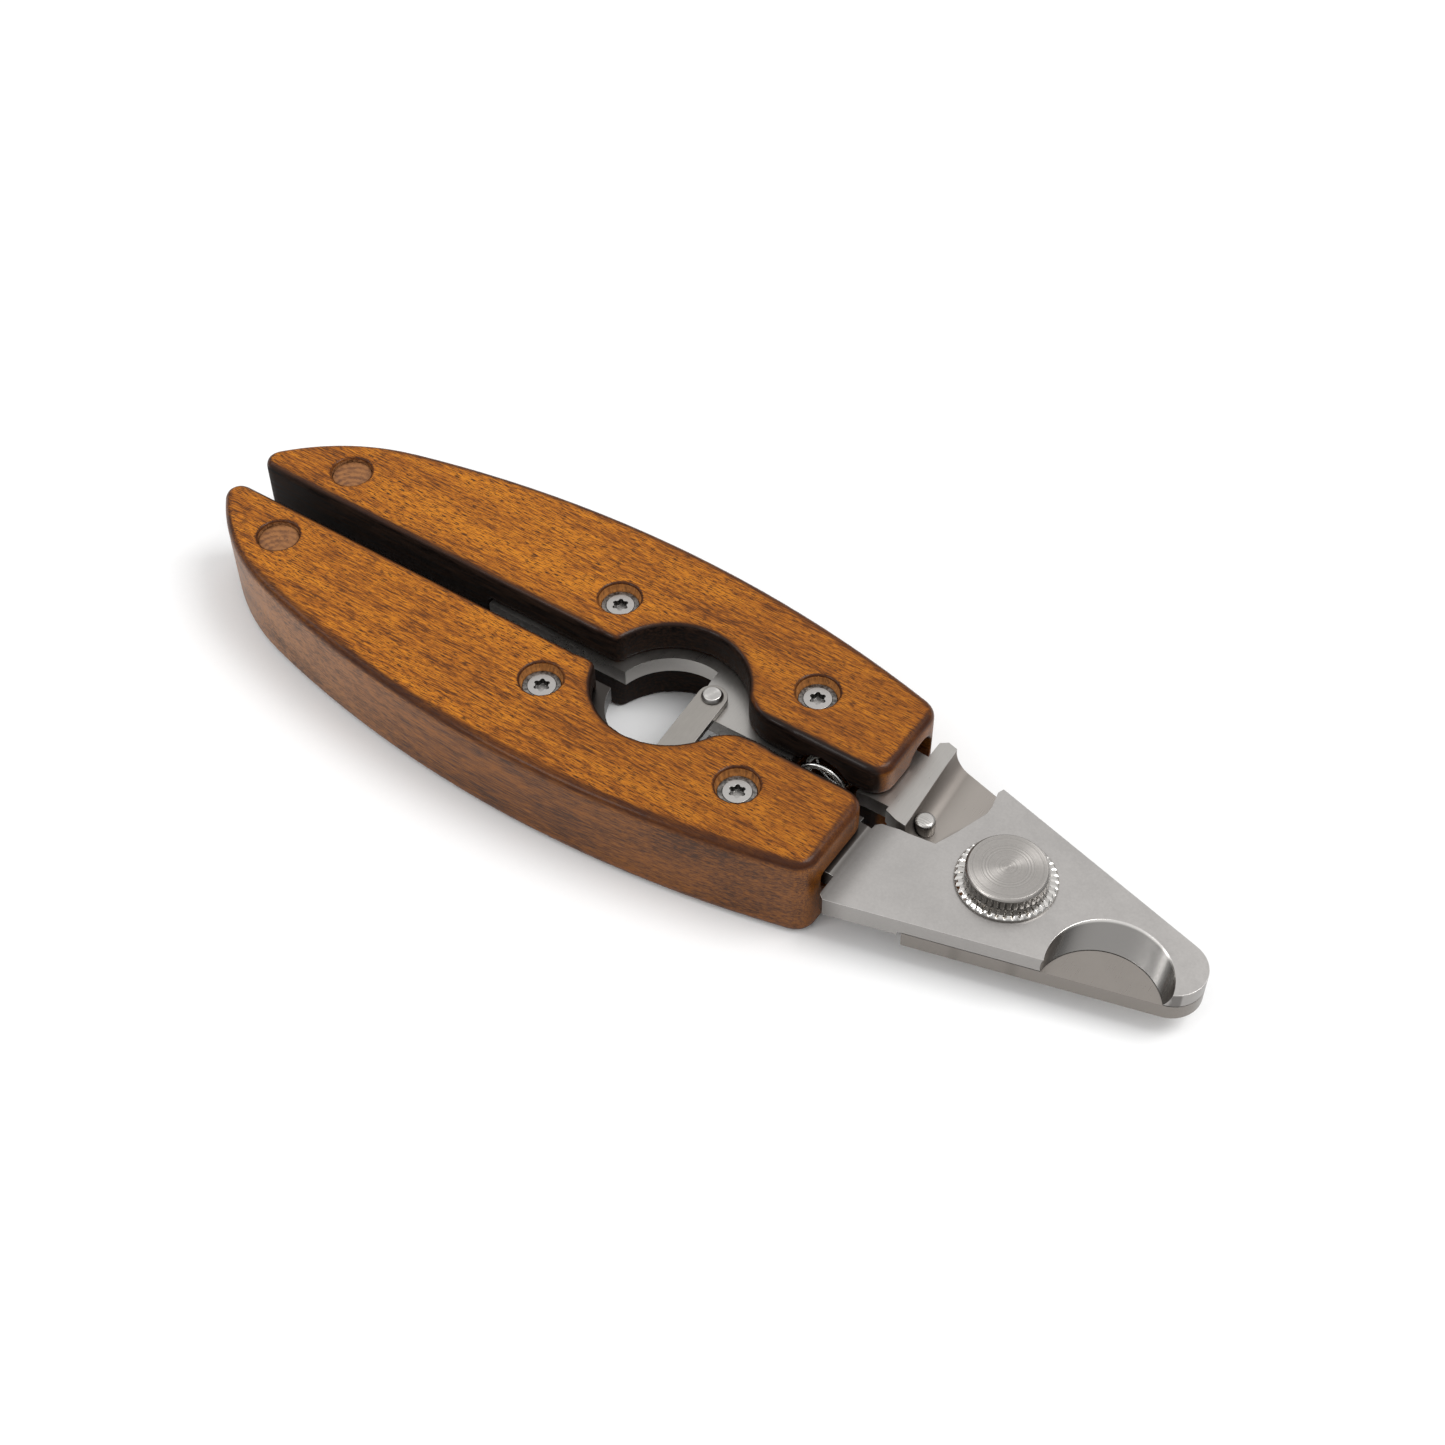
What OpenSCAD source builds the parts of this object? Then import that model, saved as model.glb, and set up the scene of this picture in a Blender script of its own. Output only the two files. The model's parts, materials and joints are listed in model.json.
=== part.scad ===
// Spring-opened hand clipper: two wooden handles screwed over flat steel levers
// that cross at a tension knob and end in a pair of notched blades.
// X runs from the butts to the blade tip, Y across the handles, Z up from the
// bottom of the handles. The handles are closed. Origin: middle of the outline.

/* [Handles] */
// Thickness of a handle
handle_t = 17; // [16:0.5:20]
// Widest reach of a handle from the middle line
handle_w = 26.5; // [25:0.5:30]
// Distance from the middle line to a handle's inner face
gap_half = 2.75; // [2.3:0.05:3.2]
// Where a handle is widest
widest_x = -18.65; // [-20:0.05:-16]
// Front face of the handles
front_x = 35.6; // [34:0.1:36.5]
// Radius of the long outer edge
outer_r = 207.4; // [195:0.1:220]
// Where the long edge turns into the butt
outer_end_x = -71.25; // [-74:0.1:-68]
// Radius of the butt's outer edge
butt_r = 39; // [36:0.5:42]
// Round-over of the long edges
edge_r = 1.6; // [1:0.1:2.2]

/* [Finger window] */
// Centre of the round window between the handles
window_x = -2.8; // [-4:0.1:-2]
// Radius of the window in the wood
window_r = 12.6; // [12:0.1:13]
// Radius of the window in the steel
steel_window_r = 10.6; // [10:0.1:11]

/* [Levers] */
// Thickness of the levers inside the handles
tang_t = 3; // [2.6:0.1:3]
// Bottom of the levers inside the handles
tang_z = 8; // [7.8:0.1:8.2]
// Thickness of each blade
blade_t = 2.9; // [2.5:0.1:2.9]
// Top of the upper blade
upper_top_z = 10.55; // [10.4:0.05:10.6]
// Height between the two blades
blade_gap = 0.1; // [0.08:0.01:0.2]
// Pivot of the two levers
pivot_x = 58.8; // [58:0.1:59.5]
// Angle between the middle line and a blade's edge
blade_angle = 15; // [14:0.5:16]
// Radius of the blade tip
tip_r = 5.2; // [5:0.1:5.4]
// Radius of the cutting notch
notch_r = 9.6; // [9:0.1:10]

/* [Fasteners] */
// Counterbore over each screw
counterbore_d = 7; // [6.8:0.1:7.4]
// Depth from the wood's top to the bare ledge in a counterbore
ledge_depth = 1.7; // [1.5:0.1:2]
// Diameter of the screws
screw_d = 3; // [2.8:0.1:3.2]
// Diameter of the pivot bolt
pivot_d = 6; // [5:0.5:6]
// Number of teeth on the click ring
teeth = 40; // [30:2:48]

/* [Hidden] */
$fn = 72;
cut = 1;                                  // how far a cutting shape runs past a face
big = 60;                                 // wide enough to cut across the whole tool

// outer edge of a handle: a long arc, the butt's arc and a small round tip; each
// shorter arc lies a hair inside the one before
hair = 0.03;
arc_turn = asin((widest_x - outer_end_x) / outer_r);
arc_dir = [-sin(arc_turn), cos(arc_turn)];
outer_c = [widest_x, handle_w - outer_r];
outer_end = outer_c + outer_r * arc_dir;
butt_c = outer_c + (outer_r - butt_r - hair) * arc_dir;
butt_tip_r = 2.5;
butt_tip_y = gap_half + butt_tip_r;
butt_tip = [butt_c.x - sqrt(pow(butt_r - butt_tip_r - hair, 2) - pow(butt_tip_y - butt_c.y, 2)), butt_tip_y];
butt_x = butt_tip.x - butt_tip_r;

// front of a handle: a square face between two round corners
nose_r = 3.5;
front_gap = 2.2;                          // inner face ahead of the window
nose_x = front_x - nose_r;
nose_y = front_gap + nose_r;
corner_y = outer_c.y + sqrt(pow(outer_r - nose_r - hair, 2) - pow(nose_x - outer_c.x, 2));

// screws and plugs stand on one slanting line in each handle
screw_at = [[17.75, 11.45], [-20.3, 10.7]];
plug_at = [-76.75, 9.5];
plug_recess = 1;
seat_z = handle_t - ledge_depth - 1.2;    // seat of a cup washer
cup_r = 3.1;
head_r = 2.3;
sleeve_r = 2.3;
sleeve_flange_r = 3.2;
sleeve_recess = 0.6;
sleeve_flange_t = 1;
slip = 0.05;                              // radial play of a pin in its hole
pivot_slip = 0.05;

slot_end = [14, 10.1];                    // across and up, on the front face
slot_end_r = 3.4;
slot_end_depth = 9;

// steel
tang_top = tang_z + tang_t;
upper_z = upper_top_z - blade_t;
lower_top = upper_z - blade_gap;
lower_z = lower_top - blade_t;
blade_tip_x = -butt_x;
tip_x = blade_tip_x - tip_r;
tip_touch = tip_r * [sin(blade_angle), cos(blade_angle)];
function bladeEdge(x) = tip_r / cos(blade_angle) + (tip_x - x) * tan(blade_angle);
shoulder_x = 36.9;
rear_corner_x = 49.8;
rear_edge = [[49.4, 14.2], [50, 11.2], [50, 9.6], [48, 3.9], [46.4, 0.1]];
swing_r = 18.2;                           // clears the other blade's rear corner
joggle_x = 41;
joggle_turn = 3.7;
joggle_fillet = 2.8;
notch_low = [79.9, 10.3];                 // notch centre at the cutting face
notch_high = [79.5, 6.3];                 // notch centre at the outer face
spring_x = 24.7;
spring_z = handle_t / 2;
spring_r = 3.75;                          // middle of the wire
wire_r = 0.5;
spring_half = 8.4;
spring_turns = 6;
spring_pocket_r = 5.2;
spring_pocket_y = 8.7;
tang_notch = [19.2, 31.2];
tang_notch_y = 9.6;

// latch
latch_at = [2.1, 4.7];
latch_turn = 3.7;                         // lean towards the tip
latch_w = 5;
latch_t = 1.1;
latch_z = tang_top + 0.1;
latch_len = 20.3;
latch_peg_reach = 17.6;
peg_r = 1;
rivet_r = 1.2;
hook_depth = 1.7;
peg_side = latch_w / 2 + peg_r + 0.35;
latch_sweep = 62;                         // pocket's reach towards the butt
latch_lead = 22;                          // pocket's reach towards the tip

// pivot stack
ring_r = 7.9;
ring_t = 1;
ring_z = upper_top_z + 0.05;
ring_bore = 4.6;
knob_r = 6.4;
knob_z = ring_z + ring_t + 0.05;
knob_top = 13.95;
bolt_head_r = 6.2;
bolt_head_t = 2;
stop_at = [42.6, 3.65];
stop_r = 1.65;
stop_foot_r = 1.15;
stop_h = 2.65;
stop_bevel = 0.35;

// ---------- shared shapes ----------

// a flat disc whose two rims are rounded
module roundedDisc(r, rim) {
    rotate_extrude($fn = 180) difference() {
        square([r, handle_t]);
        for (top = [0, 1]) translate([r - rim, top ? handle_t - rim : rim]) difference() {
            translate([0, top ? 0 : -rim]) square([rim + cut, rim]);
            circle(rim);
        }
    }
}

module slab(outline, z, t) translate([0, 0, z]) linear_extrude(t) polygon(outline);

// straight edge round-over along +X from x0 to x1, on top and bottom of an inner face
module edgeCut(x0, x1, y, r) for (top = [0, 1])
    translate([x0, y, top ? handle_t - r : r]) difference() {
        translate([0, -cut, top ? 0 : -r - cut]) cube([x1 - x0, r + cut, r + cut]);
        translate([-cut, r, 0]) rotate([0, 90, 0]) cylinder(r = r, h = x1 - x0 + 2 * cut);
    }

// wood left round where the window runs into a straight inner face
module softCorner(side, r, y) {
    reach = sqrt(pow(window_r + r - hair, 2) - pow(y + r, 2));
    c = [window_x + side * reach, y + r];
    touch = [window_x + side * reach * window_r / (window_r + r), (y + r) * window_r / (window_r + r)];
    meet = [window_x + side * (sqrt(pow(window_r, 2) - pow(y, 2)) - 0.3), y - cut];
    translate([0, 0, -cut]) linear_extrude(handle_t + 2 * cut) difference() {
        polygon([c, [c.x, y - cut], meet, touch]);
        translate(c) circle(r, $fn = 96);
    }
}

module handleOutline() {
    intersection() {
        translate(outer_c) roundedDisc(outer_r, edge_r);
        slab([[outer_end.x + 5, gap_half], [window_x, gap_half], [window_x, front_gap], [nose_x, front_gap],
            [nose_x, corner_y], outer_c + 1.06 * outer_r / (outer_r - nose_r) * ([nose_x, corner_y] - outer_c),
            [nose_x, big], outer_end + 9 * arc_dir, outer_end - 9 * arc_dir], 0, handle_t);
    }
    intersection() {
        translate(butt_c) roundedDisc(butt_r, edge_r);
        slab([outer_end - 9 * arc_dir + [2, 0], outer_end + 9 * arc_dir + [2, 0], [butt_x - 9, big],
            butt_c + 1.5 * (butt_tip - butt_c), butt_tip, [butt_tip.x, gap_half], [outer_end.x + 7, gap_half]],
            0, handle_t);
    }
    translate(butt_tip) roundedDisc(butt_tip_r, edge_r);
    for (y = [nose_y, corner_y]) translate([nose_x, y]) roundedDisc(nose_r, edge_r);
    translate([0, nose_y, 0]) rotate([90, 0, 0]) mirror([0, 0, 1]) linear_extrude(corner_y - nose_y)
        difference() {
            translate([nose_x - cut, 0]) square([nose_r + cut, handle_t]);
            for (top = [0, 1]) translate([front_x - edge_r, top ? handle_t - edge_r : edge_r]) difference() {
                translate([0, top ? 0 : -edge_r]) square([edge_r + cut, edge_r]);
                circle(edge_r);
            }
        }
}

// one handle on the +Y side
module handleShape() {
    difference() {
        handleOutline();
        translate([window_x, 0, -cut]) cylinder(r = window_r, h = handle_t + 2 * cut, $fn = 120);
        softCorner(-1, 2, gap_half);
        softCorner(1, 8, front_gap);
        edgeCut(butt_tip.x, window_x - window_r - 3, gap_half, edge_r);
        edgeCut(window_x + window_r + 8, nose_x, front_gap, edge_r);
        translate([0, 0, tang_z - 0.15]) linear_extrude(tang_t + 0.3)
            polygon([[-42, 0], [-42, 7.3], [-31.3, 15], [25, 15.4], [big, 14.2], [big, 0]]);
        translate([spring_x, 0, spring_z]) rotate([-90, 0, 0]) cylinder(r = spring_pocket_r, h = spring_pocket_y);
        for (p = screw_at) translate(p) {
            translate([0, 0, handle_t - ledge_depth]) cylinder(d = counterbore_d, h = ledge_depth + cut);
            translate([0, 0, seat_z]) cylinder(r = cup_r + slip, h = handle_t);
            cylinder(r = screw_d / 2 + slip, h = handle_t);
            translate([0, 0, -cut]) cylinder(r = sleeve_r + slip, h = tang_z + cut);
            translate([0, 0, -cut]) cylinder(r = sleeve_flange_r + slip,
                h = cut + sleeve_recess + sleeve_flange_t);
        }
        translate([plug_at.x, plug_at.y, -cut]) cylinder(d = counterbore_d, h = handle_t + 2 * cut);
    }
}

// outline of a lever inside its handle, on the +Y side
module tangOutline(tab) difference() {
    polygon([[-41.3, 2], [-41.3, 7], [-31, 14.6], [25, 15], [shoulder_x + 3, 13.8],
        [shoulder_x + 3, 2], [33, 2], [31, 1.7], [5, 1.45], [-12.8, 1.45], [-12.8, 2]]);
    intersection() {
        translate([window_x, 0]) circle(steel_window_r, $fn = 120);
        polygon([[-big, -big], [tab + 0.8, -big], [tab + 0.8, 2.6], [tab, 8.5], [tab - 0.8, big], [-big, big]]);
    }
    translate([tang_notch.x, 0]) square([tang_notch.y - tang_notch.x, tang_notch_y]);
    for (p = screw_at) translate(p) circle(screw_d / 2 + 0.2);
}

// outline of a blade ahead of the shoulder, rear edge on the +Y side
module bladeOutline(rear) {
    translate([tip_x, 0]) circle(tip_r, $fn = 96);
    polygon(concat(rear, [[rear_corner_x, bladeEdge(rear_corner_x)]], rear_edge,
        [[42, -0.5], [40.5, -0.55], [shoulder_x + 0.8, -1.2]],
        [[shoulder_x, -2.1], [shoulder_x, -bladeEdge(shoulder_x) + 0.9], [shoulder_x + 0.9, -bladeEdge(shoulder_x + 0.9)],
            [tip_x + tip_touch.x, -tip_touch.y]]));
}

// notch cut through a blade between its outer and its cutting face
module notch(side, cutting_z, outer_z) hull() {
    lean = (notch_high - notch_low) / abs(outer_z - cutting_z) * 0.5;
    dir = sign(outer_z - cutting_z);
    translate([notch_low.x - lean.x, side * (notch_low.y - lean.y), cutting_z - 0.5 * dir])
        cylinder(r = notch_r, h = 0.01, $fn = 96);
    translate([notch_high.x + lean.x, side * (notch_high.y + lean.y), outer_z + 0.5 * dir])
        cylinder(r = notch_r, h = 0.01, $fn = 96);
}

module pair() for (p = screw_at) translate(p) children();

// ---------- handles ----------

module far_handle() color([0.60, 0.33, 0.12]) difference() {
    handleShape();
    // slot opened out at its outer end
    translate([front_x - slot_end_depth, slot_end.x, slot_end.y]) rotate([0, 90, 0])
        cylinder(r = slot_end_r, h = slot_end_depth + cut);
}

module near_handle() color([0.60, 0.33, 0.12]) difference() {
    mirror([0, 1, 0]) handleShape();
    translate([latch_at.x, latch_at.y, tang_top - 0.1]) intersection() {
        cylinder(r = latch_len + 1, h = latch_t + 0.7, $fn = 120);
        linear_extrude(big) polygon([[0, 0], big * [sin(latch_lead), -cos(latch_lead)], big * [0, -1.4],
            big * [-sin(latch_sweep), -cos(latch_sweep)]]);
    }
}

module plug() color([0.50, 0.34, 0.20]) translate([plug_at.x, plug_at.y, plug_recess])
    cylinder(d = counterbore_d - 2 * slip, h = handle_t - 2 * plug_recess);

module far_plug() plug();

module near_plug() mirror([0, 1, 0]) plug();

// ---------- levers ----------

// the near handle's lever: its blade lies on top
module upper_blade_lever() color([0.70, 0.69, 0.67]) difference() {
    union() {
        mirror([0, 1, 0]) translate([0, 0, tang_z]) linear_extrude(tang_t) difference() {
            tangOutline(4.9);
            translate([shoulder_x - 2, 0]) square([big, 3]);
        }
        translate([0, 0, tang_z - 1.1]) linear_extrude(tang_t + 1.1)
            bladeOutline([[tip_x + tip_touch.x, tip_touch.y]]);
    }
    // milled flat on top, with a shallow hollow where it meets the tang
    translate([shoulder_x + 2.3, -big / 2, upper_top_z]) cube([big, big, big]);
    intersection() {
        translate([shoulder_x + 2.3, big / 2, upper_top_z + 11.6]) rotate([90, 0, 0])
            cylinder(r = 11.6, h = big, $fn = 180);
        translate([shoulder_x - 1, -big / 2, upper_top_z]) cube([3.3, big, 3]);
    }
    // underside relieved over the swing of the lower blade
    translate([pivot_x, 0, 0]) cylinder(r = swing_r, h = upper_z, $fn = 180);
    translate([rear_corner_x, -big / 2, 0]) cube([big, big, upper_z]);
    notch(-1, upper_z, upper_top_z);
    translate([pivot_x, 0, 0]) cylinder(d = pivot_d + 2 * pivot_slip, h = handle_t);
    pegPlace() cylinder(r = peg_r + slip, h = handle_t);
}

// the far handle's lever: it steps down so that its blade lies underneath
module lower_blade_lever() color([0.66, 0.65, 0.62]) difference() {
    union() {
        translate([0, 0, tang_z]) linear_extrude(tang_t) tangOutline(-0.6);
        translate([0, 0, lower_z]) linear_extrude(tang_top - lower_z) lowerOutline();
    }
    // milled down for the upper blade to slide on
    translate([joggle_x, 0, lower_top]) rotate([0, 0, joggle_turn]) difference() {
        translate([0, -big, 0]) cube([big * 2, big * 2, big]);
        difference() {
            translate([-cut, -big, -cut]) cube([joggle_fillet + cut, big * 2, joggle_fillet + cut]);
            translate([joggle_fillet, big, joggle_fillet]) rotate([90, 0, 0])
                cylinder(r = joggle_fillet, h = big * 2);
        }
    }
    // underside follows the step
    translate([shoulder_x - 4, -big / 2, 0]) cube([4.4, big, tang_z]);
    notch(1, lower_top, lower_z);
    translate([pivot_x, 0, 0]) cylinder(d = pivot_d + 2 * pivot_slip, h = handle_t);
    translate([stop_at.x, stop_at.y, 0]) cylinder(r = stop_foot_r + slip, h = handle_t);
    translate([stop_at.x, stop_at.y, lower_top]) cylinder(r = stop_r + 0.15, h = handle_t);
    translate([latch_at.x, latch_at.y, 0]) cylinder(r = rivet_r + slip, h = handle_t);
}

module lowerOutline() {
    translate([tip_x, 0]) circle(tip_r, $fn = 96);
    polygon(concat([[tip_x + tip_touch.x, tip_touch.y], [shoulder_x + 1.2, bladeEdge(shoulder_x + 1.2)],
        [shoulder_x, bladeEdge(shoulder_x) - 1.2], [shoulder_x, 1.2], [39.1, 0.4], [joggle_x, 0.15]],
        [for (i = [len(rear_edge) - 1:-1:0]) [rear_edge[i].x, -rear_edge[i].y]],
        [[rear_corner_x, -bladeEdge(rear_corner_x)], [tip_x + tip_touch.x, -tip_touch.y]]));
}

// ---------- screws ----------

// six-lobed drive
module drive(h) {
    cylinder(r = 1.05, h = h, $fn = 36);
    for (a = [0:60:300]) rotate(a) translate([1.02, 0, 0]) cylinder(r = 0.36, h = h, $fn = 24);
}

module screws() color([0.78, 0.77, 0.74]) pair() difference() {
    union() {
        translate([0, 0, 3]) cylinder(d = screw_d, h = seat_z - 3);
        translate([0, 0, seat_z - 0.1]) cylinder(r1 = screw_d / 2, r2 = head_r, h = 1.1);
        translate([0, 0, seat_z + 1]) cylinder(r = head_r, h = 0.2);
    }
    translate([0, 0, seat_z]) drive(2);
}

module far_screws() screws();

module near_screws() mirror([0, 1, 0]) screws();

module cupWashers() color([0.30, 0.28, 0.26]) pair() difference() {
    translate([0, 0, seat_z]) cylinder(r = cup_r, h = 1.15);
    translate([0, 0, seat_z - 0.1]) cylinder(r1 = screw_d / 2 + slip, r2 = head_r + slip, h = 1.1);
    translate([0, 0, seat_z - cut]) cylinder(r = screw_d / 2 + slip, h = 2 * cut);
    translate([0, 0, seat_z + 1]) cylinder(r = head_r + slip, h = 1);
}

module far_cup_washers() cupWashers();

module near_cup_washers() mirror([0, 1, 0]) cupWashers();

module sleeveNuts() color([0.72, 0.70, 0.66]) pair() difference() {
    union() {
        translate([0, 0, sleeve_recess]) cylinder(r = sleeve_flange_r, h = sleeve_flange_t);
        translate([0, 0, sleeve_recess]) cylinder(r = sleeve_r, h = tang_z - sleeve_recess - 0.05);
    }
    translate([0, 0, sleeve_recess + 1.2]) cylinder(r = screw_d / 2 + slip, h = tang_z);
    translate([-big / 2, -0.4, 0]) cube([big, 0.8, sleeve_recess + 0.6]);
}

module far_sleeve_nuts() sleeveNuts();

module near_sleeve_nuts() mirror([0, 1, 0]) sleeveNuts();

// ---------- pivot ----------

module pivot_bolt() color([0.74, 0.73, 0.70]) translate([pivot_x, 0, 0]) difference() {
    union() {
        translate([0, 0, lower_z - 0.05 - bolt_head_t]) cylinder(r = bolt_head_r, h = bolt_head_t - 0.5);
        translate([0, 0, lower_z - 0.55]) cylinder(r1 = bolt_head_r, r2 = bolt_head_r - 0.5, h = 0.5);
        translate([0, 0, lower_z - 0.1]) cylinder(d = pivot_d, h = knob_top - 0.9 - lower_z + 0.1);
    }
    translate([0, 0, lower_z - bolt_head_t - cut]) cylinder(r = 2.3, h = cut + 1.2, $fn = 6);
}

module wave_washer() color([0.55, 0.54, 0.52]) translate([pivot_x, 0, ring_z]) difference() {
    cylinder(r = ring_bore - 0.2, h = ring_t - 0.2);
    translate([0, 0, -cut]) cylinder(d = pivot_d + 0.3, h = ring_t + 2 * cut);
}

// toothed ring that the knob clicks over
module click_ring() color([0.76, 0.75, 0.72]) translate([pivot_x, 0, ring_z]) difference() {
    union() {
        cylinder(r = ring_r, h = ring_t * 0.4, $fn = 120);
        translate([0, 0, ring_t * 0.4]) cylinder(r1 = ring_r, r2 = ring_r - 0.5, h = ring_t * 0.6, $fn = 120);
    }
    translate([0, 0, -cut]) cylinder(r = ring_bore, h = ring_t + 2 * cut);
    for (i = [0:teeth - 1]) rotate(i * 360 / teeth) translate([knob_r + 0.15, 0, ring_t * 0.45])
        rotate([45, 0, 0]) translate([0, -0.3, -0.3]) translate([0, 0.3, 0.3]) cube([3, 0.55, 0.55]);
}

module tension_knob() color([0.78, 0.77, 0.74]) translate([pivot_x, 0, knob_z]) difference() {
    union() {
        cylinder(r = knob_r, h = knob_top - knob_z - 0.4, $fn = 120);
        translate([0, 0, knob_top - knob_z - 0.4]) cylinder(r1 = knob_r, r2 = knob_r - 0.4, h = 0.4, $fn = 120);
    }
    translate([0, 0, -cut]) cylinder(d = pivot_d + 2 * pivot_slip, h = knob_top - knob_z - 0.8 + cut);
    for (i = [0:teeth - 1]) rotate(i * 360 / teeth) translate([knob_r + 0.12, 0, -cut])
        rotate(45) translate([-0.25, -0.25, 0]) cube([0.5, 0.5, knob_top - knob_z - 0.6 + cut]);
}

module stop_pin() color([0.76, 0.75, 0.73]) translate([stop_at.x, stop_at.y, 0]) {
    translate([0, 0, lower_z + 0.3]) cylinder(r = stop_foot_r, h = lower_top - lower_z);
    translate([0, 0, lower_top]) cylinder(r = stop_r, h = stop_h - stop_bevel);
    translate([0, 0, lower_top + stop_h - stop_bevel])
        cylinder(r1 = stop_r, r2 = stop_r - stop_bevel, h = stop_bevel);
}

// ---------- latch ----------

module latchPlace() translate([latch_at.x, latch_at.y, 0]) rotate(latch_turn) children();

module pegPlace() latchPlace() translate([peg_side, -latch_peg_reach, 0]) children();

module latch_link() color([0.70, 0.68, 0.65]) latchPlace() translate([0, 0, latch_z])
    linear_extrude(latch_t) difference() {
        union() {
            circle(d = latch_w);
            translate([-latch_w / 2, -latch_len + 1.5]) square([latch_w, latch_len - 1.5]);
            translate([-latch_w / 2 + 1.5, -latch_len]) square([latch_w - 3, 2]);
            for (x = [-1, 1]) translate([x * (latch_w / 2 - 1.5), -latch_len + 1.5]) circle(1.5);
        }
        circle(rivet_r + slip);
        translate([latch_w / 2, -latch_peg_reach]) circle(hook_depth);
    }

module latch_rivet() color([0.74, 0.72, 0.69]) translate([latch_at.x, latch_at.y, 0]) {
    translate([0, 0, tang_z - 0.6]) cylinder(r = rivet_r, h = tang_t + latch_t + 0.9);
    translate([0, 0, latch_z + latch_t + 0.08]) cylinder(r1 = 1.9, r2 = 1.45, h = 0.7);
    translate([0, 0, tang_z - 0.9]) cylinder(r = 1.9, h = 0.85);
}

module latch_peg() color([0.72, 0.70, 0.67]) pegPlace() translate([0, 0, tang_z + 0.2])
    cylinder(r = peg_r, h = tang_t + latch_t + 0.1);

// ---------- return spring ----------

ring_sides = 8;
steps_per_turn = 16;
spring_steps = spring_turns * steps_per_turn;

// pitch closes up over the first and last turn
function springAlong(i) = let (t = i / spring_steps, e = 1 / spring_turns)
    (spring_half - wire_r) * (2 * (t < e ? pow(t / e, 2) * e / 2
        : t > 1 - e ? 1 - e - pow((1 - t) / e, 2) * e / 2 : t - e / 2) / (1 - e) - 1);
function springRing(i, a) = let (w = spring_r + wire_r * cos(a), turn = 360 * i / steps_per_turn)
    [w * cos(turn), springAlong(i) + wire_r * sin(a), w * sin(turn)];

module return_spring() color([0.80, 0.79, 0.76]) translate([spring_x, 0, spring_z]) polyhedron(
    points = [for (i = [0:spring_steps], k = [0:ring_sides - 1]) springRing(i, k * 360 / ring_sides)],
    faces = concat([[for (k = [0:ring_sides - 1]) k]],
        [[for (k = [ring_sides - 1:-1:0]) spring_steps * ring_sides + k]],
        [for (i = [0:spring_steps - 1], k = [0:ring_sides - 1]) let (m = (k + 1) % ring_sides)
            [i * ring_sides + k, (i + 1) * ring_sides + k, (i + 1) * ring_sides + m, i * ring_sides + m]]));

near_handle();
far_handle();
near_plug();
far_plug();
upper_blade_lever();
lower_blade_lever();
near_screws();
far_screws();
near_cup_washers();
far_cup_washers();
near_sleeve_nuts();
far_sleeve_nuts();
pivot_bolt();
wave_washer();
click_ring();
tension_knob();
stop_pin();
latch_link();
latch_rivet();
latch_peg();
return_spring();
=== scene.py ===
import json
import math
import bpy
from mathutils import Matrix, Vector


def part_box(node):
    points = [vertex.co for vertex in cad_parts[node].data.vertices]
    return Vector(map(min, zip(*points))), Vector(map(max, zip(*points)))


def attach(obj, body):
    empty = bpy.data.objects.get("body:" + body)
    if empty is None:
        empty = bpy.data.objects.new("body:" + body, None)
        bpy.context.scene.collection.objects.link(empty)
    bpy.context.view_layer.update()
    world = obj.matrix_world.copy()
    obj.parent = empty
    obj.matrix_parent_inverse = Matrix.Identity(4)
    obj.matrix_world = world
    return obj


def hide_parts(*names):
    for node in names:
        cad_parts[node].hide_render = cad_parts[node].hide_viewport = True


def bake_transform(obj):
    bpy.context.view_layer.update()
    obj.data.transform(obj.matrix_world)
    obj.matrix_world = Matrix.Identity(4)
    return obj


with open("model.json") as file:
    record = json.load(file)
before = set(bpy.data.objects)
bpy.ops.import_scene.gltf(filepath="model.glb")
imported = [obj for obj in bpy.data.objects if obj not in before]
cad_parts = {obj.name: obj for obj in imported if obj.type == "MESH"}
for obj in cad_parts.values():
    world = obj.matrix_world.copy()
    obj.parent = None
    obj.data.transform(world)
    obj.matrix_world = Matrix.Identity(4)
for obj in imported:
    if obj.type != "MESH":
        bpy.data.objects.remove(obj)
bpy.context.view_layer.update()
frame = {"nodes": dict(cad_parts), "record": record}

mm = 0.001
record = frame["record"]
bodyOf = {node: body for body, members in record["behaviour"]["bodies"].items() for node in members}
hinge = {joint["name"]: joint for joint in record["behaviour"]["joints"]}
pivot = Vector(hinge["pivot_open"]["pos_m"])
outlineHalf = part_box("far_handle")[1].y
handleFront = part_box("far_handle")[1].x


def middle(node):
    low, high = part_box(node)
    return (low + high) / 2


def pairCentres(node):
    # a node that holds two small fittings: the middle of each
    points = [v.co for v in frame["nodes"][node].data.vertices]
    halfWay = middle(node).x
    groups = [[p for p in points if p.x > halfWay], [p for p in points if p.x <= halfWay]]
    found = []
    for group in groups:
        xs, ys = [p.x for p in group], [p.y for p in group]
        found.append(((min(xs) + max(xs)) / 2, (min(ys) + max(ys)) / 2))
    return found


# small helpers for building the finishes

def newLook(name):
    look = bpy.data.materials.new(name)
    look.use_nodes = True
    return look, look.node_tree.nodes["Principled BSDF"]


def put(shader, **values):
    for socket, value in values.items():
        shader.inputs[socket.replace("_", " ")].default_value = value


def addNode(look, kind, **settings):
    made = look.node_tree.nodes.new(kind)
    for key, value in settings.items():
        setattr(made, key, value)
    return made


def join(look, out, into):
    look.node_tree.links.new(out, into)


def reckon(look, operation, first, second=None):
    made = addNode(look, "ShaderNodeMath", operation=operation)
    for socket, value in zip(made.inputs, (first, second)):
        if value is None:
            continue
        if isinstance(value, (int, float)):
            socket.default_value = value
        else:
            join(look, value, socket)
    return made.outputs[0]


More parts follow.
